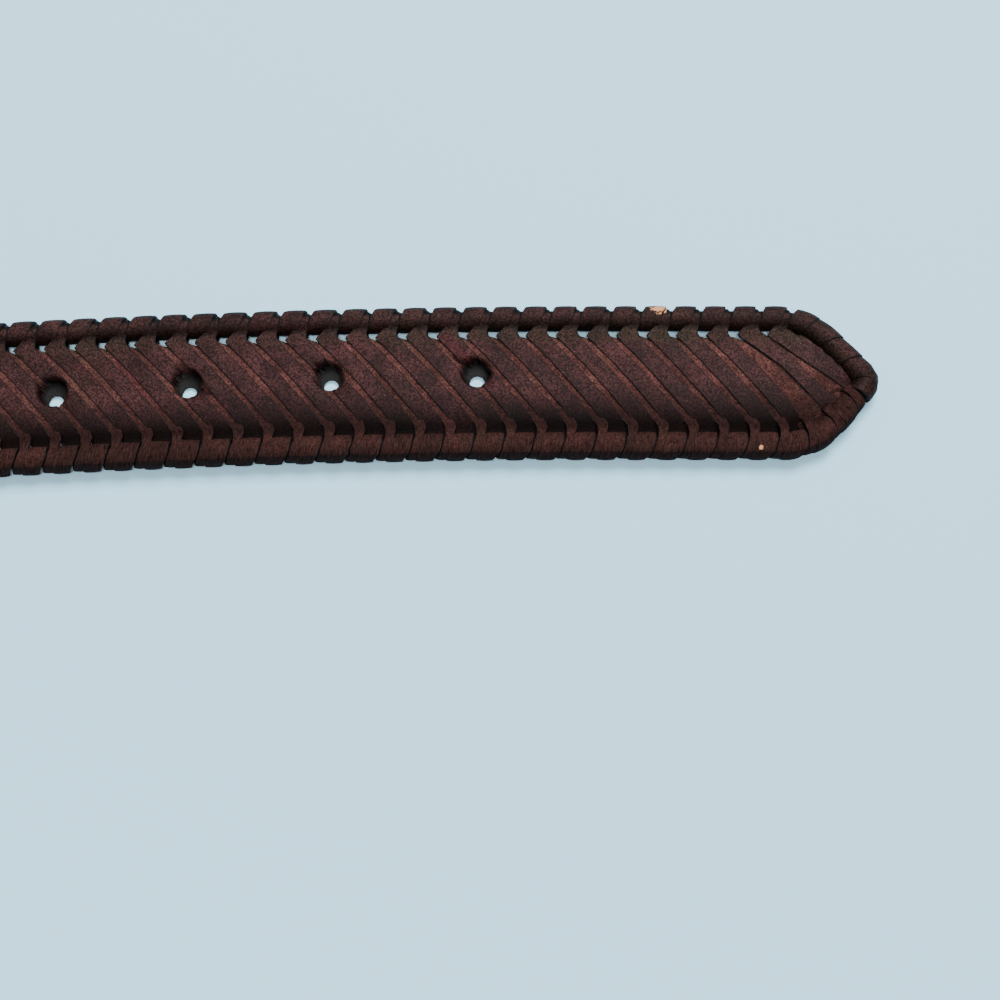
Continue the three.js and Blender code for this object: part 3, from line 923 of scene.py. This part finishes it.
# A tube along points, closed at both ends
def tube(name, points, radius, sides):
    mesh = bpy.data.meshes.new(name)
    bm = bmesh.new()
    rings = []
    for i, point in enumerate(points):
        ahead = points[min(i + 1, len(points) - 1)] - points[max(i - 1, 0)]
        ahead.normalize()
        across = ahead.cross(Vector((0, 0, 1))).normalized()
        up = across.cross(ahead)
        ring = []
        for k in range(sides):
            turn = 2 * math.pi * k / sides
            ring.append(bm.verts.new(point + (across * math.cos(turn) + up * math.sin(turn)) * radius))
        rings.append(ring)
    for a, b in zip(rings, rings[1:]):
        for k in range(sides):
            bm.faces.new((a[k], a[(k + 1) % sides], b[(k + 1) % sides], b[k]))
    bm.faces.new(rings[0][::-1])
    bm.faces.new(rings[-1])
    bmesh.ops.recalc_face_normals(bm, faces=bm.faces)
    bm.to_mesh(mesh)
    bm.free()
    for polygon in mesh.polygons:
        polygon.use_smooth = len(polygon.vertices) == 4
    obj = bpy.data.objects.new(name, mesh)
    bpy.context.scene.collection.objects.link(obj)
    return obj


CORE_RADIUS = 1.45 * MM
CORE_STEPS = 320
CORE_SIDES = 12
CORE_CROWDING = 0.8


# A point of the core's middle, with the steps closer together towards the tip
def core_point(step, side):
    x = CUT_X + (APEX - CUT_X) * (step / CORE_STEPS) ** CORE_CROWDING
    spot = rim(x, side)[0]
    spot = lay(spot.x, spot.y) + ORIGIN
    return Vector((spot.x, spot.y, MID_HEIGHT))


core_path = [core_point(step, 1) for step in range(CORE_STEPS + 1)]
core_path += [core_point(step, -1) for step in range(CORE_STEPS - 1, -1, -1)]
core = tube("core", core_path, CORE_RADIUS, CORE_SIDES)
core.data.materials.append(core_leather)

# The folded leather: a grid bent along its two plies and round the bar, then thickened
PLY_MIDDLE = PLY_THICKNESS / 2
FOLD_MIDDLE = FOLD_RADIUS - PLY_MIDDLE


def chape_path():
    path = []
    for s in (45, 43, 38, 32, 26, 20, 14, 9, 7, 3, 0):
        path.append((s * MM, PLY_MIDDLE))
    for step in range(1, 12):
        turn = -math.pi / 2 - math.pi * step / 12
        path.append((FOLD_MIDDLE * math.cos(turn), FOLD_RADIUS + FOLD_MIDDLE * math.sin(turn)))
    top = BELT_THICKNESS - PLY_MIDDLE
    for s in (0, 3, 7, 9, 11, 14, 20, 26, 32, 38, 43, 45):
        rise = 2 * FOLD_RADIUS - PLY_MIDDLE - top
        drop = ease(s * MM / (FOLD_RUN + 2 * MM))
        path.append((s * MM, top + rise * (1 - drop)))
    return path


CHAPE_COLUMNS = (-14.1, -13.4, -11.3, -8, -3, 0, 3, 8, 11.3, 13.4, 14.1)
path = chape_path()
bpy.ops.mesh.primitive_grid_add(
    x_subdivisions=len(CHAPE_COLUMNS) - 1, y_subdivisions=len(path) - 1, size=1,
)
chape = bpy.context.object
chape.name = "folded_leather"
mesh = chape.data
mesh.uv_layers[0].name = LACE_UV
run = 0
chape_places = []
for i, (s, z) in enumerate(path):
    if i:
        run += math.hypot(s - path[i - 1][0], z - path[i - 1][1])
    for y in CHAPE_COLUMNS:
        spot = lay(s, -y * MM) + ORIGIN
        chape_places.append((Vector((spot.x, spot.y, z)), y * MM / BELT_WIDTH + 0.5, run / MM))
for vertex in mesh.vertices:
    vertex.co = chape_places[vertex.index][0]
for loop in mesh.loops:
    mesh.uv_layers[LACE_UV].data[loop.index].uv = chape_places[loop.vertex_index][1:]
bm = bmesh.new()
bm.from_mesh(mesh)
slot_faces = [
    f for f in bm.faces
    if abs(f.calc_center_median().y - (ORIGIN.y + lay(0, 0).y)) < TONGUE_SLOT_WIDTH / 2
    and f.calc_center_median().x < ORIGIN.x + lay(TONGUE_SLOT_REACH, 0).x
]
bmesh.ops.delete(bm, geom=slot_faces, context="FACES")
bm.to_mesh(mesh)
bm.free()
mesh.materials.append(chape_side)
mesh.materials.append(cut_edge_and_shade)
for polygon in mesh.polygons:
    polygon.use_smooth = True
solid = chape.modifiers.new("thickness", "SOLIDIFY")
solid.thickness = PLY_THICKNESS
solid.offset = 0
solid.material_offset_rim = 1
bevel = chape.modifiers.new("rounded_edges", "BEVEL")
bevel.width = 0.22 * MM
bevel.segments = 2
bevel.limit_method = "ANGLE"
bevel.angle_limit = math.radians(60)
apply_modifiers(chape)

# The braid's end between the plies, finished as a plain tab
bpy.ops.mesh.primitive_cube_add(size=1)
tab = bpy.context.object
tab.name = "plain_tab"
tab_from = FOLD_RUN + 0.6 * MM
tab_to = CHAPE_LENGTH - 0.2 * MM
tab_half = BELT_WIDTH / 2 - 0.35 * MM
for vertex in tab.data.vertices:
    s = tab_to if vertex.co.x > 0 else tab_from
    spot = lay(s, math.copysign(tab_half, vertex.co.y)) + ORIGIN
    z = BELT_THICKNESS - PLY_THICKNESS if vertex.co.z > 0 else PLY_THICKNESS
    vertex.co = (spot.x, spot.y, z)
bevel = tab.modifiers.new("rounded_edges", "BEVEL")
bevel.width = 0.15 * MM
bevel.segments = 2
apply_modifiers(tab)
tab.data.materials.append(cut_edge_and_shade)

# Stitches: one is shaped and copied along the sides and across the end
STITCH_LENGTH = 2.5 * MM
STITCH_STEP = 3.3 * MM
STITCH_RADIUS = 0.36 * MM
STITCH_HEIGHT = BELT_THICKNESS + 0.03 * MM
STITCH_LEAN = 0.08
SIDE_ROW = 11.6 * MM
SIDE_ROW_START = 14 * MM
SIDE_STITCHES = 9
END_ROW = 42.2 * MM
END_STITCHES = 7
bpy.ops.mesh.primitive_uv_sphere_add(segments=10, ring_count=8, radius=1)
stitch = bpy.context.object
for vertex in stitch.data.vertices:
    co = vertex.co
    stretch = math.copysign(abs(co.z) ** 0.7, co.z)
    vertex.co = Vector((stretch * STITCH_LENGTH / 2, co.y * STITCH_RADIUS, co.x * STITCH_RADIUS))
for polygon in stitch.data.polygons:
    polygon.use_smooth = True
stitch.data.materials.append(thread_material)


def stitch_copy(s, y, turn):
    mesh = stitch.data.copy()
    spot = lay(s, y) + ORIGIN
    turned = Matrix.Rotation(turn + rng.uniform(-0.05, 0.05), 4, "Z")
    mesh.transform(Matrix.Translation((spot.x, spot.y, STITCH_HEIGHT)) @ turned)
    obj = bpy.data.objects.new("stitch", mesh)
    bpy.context.scene.collection.objects.link(obj)
    return obj


stitches = []
for i in range(SIDE_STITCHES):
    for y in (-SIDE_ROW, SIDE_ROW):
        stitches.append(stitch_copy(SIDE_ROW_START + i * STITCH_STEP, y, STITCH_LEAN))
for i in range(END_STITCHES):
    y = (i - END_STITCHES // 2) * STITCH_STEP
    stitches.append(stitch_copy(END_ROW, y, math.pi / 2 + STITCH_LEAN))
remove(stitch)
stitching = join(stitches, "stitching")

# What each piece rides on, its material's slot and the solid that it stands for
for piece in lace_pieces + [core, chape, tab, stitching]:
    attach(piece, "root")
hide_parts("rim_cord")
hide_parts("woven_panel")
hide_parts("chape")
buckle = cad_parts["buckle"]
for material_slot in buckle.material_slots:
    material_slot.material = buckle_metal

# Floor, lights, camera
bpy.ops.mesh.primitive_plane_add(size=3)
floor = bpy.context.object
floor.name = "floor"
floor_material = bpy.data.materials.new("pale_floor")
floor_material.use_nodes = True
floor_shader = floor_material.node_tree.nodes["Principled BSDF"]
floor_shader.inputs["Base Color"].default_value = (0.41, 0.78, 1.0, 1)
floor_shader.inputs["Emission Color"].default_value = (0.78, 0.80, 0.82, 1)
floor_shader.inputs["Emission Strength"].default_value = 0.1
floor_shader.inputs["Roughness"].default_value = 0.9
floor.data.materials.append(floor_material)

# The middle of the photo, measured back from the tip and towards the viewer
AIM_BACK = 66.55 * MM
AIM_DOWN = 21.2 * MM
ELEVATION = math.radians(74)
DISTANCE = 291.35 * MM
tip = lay(STRAP_LENGTH, 0) + ORIGIN
aim = tip - TIP_FORWARD * AIM_BACK - TIP_LEFT * AIM_DOWN
target = Vector((aim.x, aim.y, 0))
front = Vector((-TIP_LEFT.x, -TIP_LEFT.y, 0))
camera_place = target + (front * math.cos(ELEVATION) + Vector((0, 0, 1)) * math.sin(ELEVATION)) * DISTANCE
camera_data = bpy.data.cameras.new("camera")
camera_data.lens = 60
camera_data.sensor_width = 36
camera_data.clip_start = 0.01
camera = bpy.data.objects.new("camera", camera_data)
camera.location = camera_place
camera.rotation_euler = (target - camera_place).to_track_quat("-Z", "Y").to_euler()
bpy.context.scene.collection.objects.link(camera)
bpy.context.scene.camera = camera


def area_light(name, place_at, size, power, colour):
    data = bpy.data.lights.new(name, "AREA")
    data.size = size
    data.energy = power
    data.color = colour
    light = bpy.data.objects.new(name, data)
    light.location = place_at
    light.rotation_euler = (target - Vector(place_at)).to_track_quat("-Z", "Y").to_euler()
    bpy.context.scene.collection.objects.link(light)


# The key light stands behind the belt, and the front one lights the floor inside the gaps
area_light("key", target + Vector((0.25, 0.68, 1.1)), 0.6, 28, (1, 0.985, 0.97))
area_light("front", target + front * 0.36 + Vector((0, 0, 1.25)), 0.3, 10.5, (1, 0.985, 0.97))
area_light("fill", target + Vector((-0.7, 0.2, 1.1)), 1.2, 3, (0.93, 0.97, 1))
world = bpy.data.worlds.new("studio")
world.use_nodes = True
world.node_tree.nodes["Background"].inputs["Color"].default_value = (0.93, 0.96, 1, 1)
world.node_tree.nodes["Background"].inputs["Strength"].default_value = 0.15
bpy.context.scene.world = world
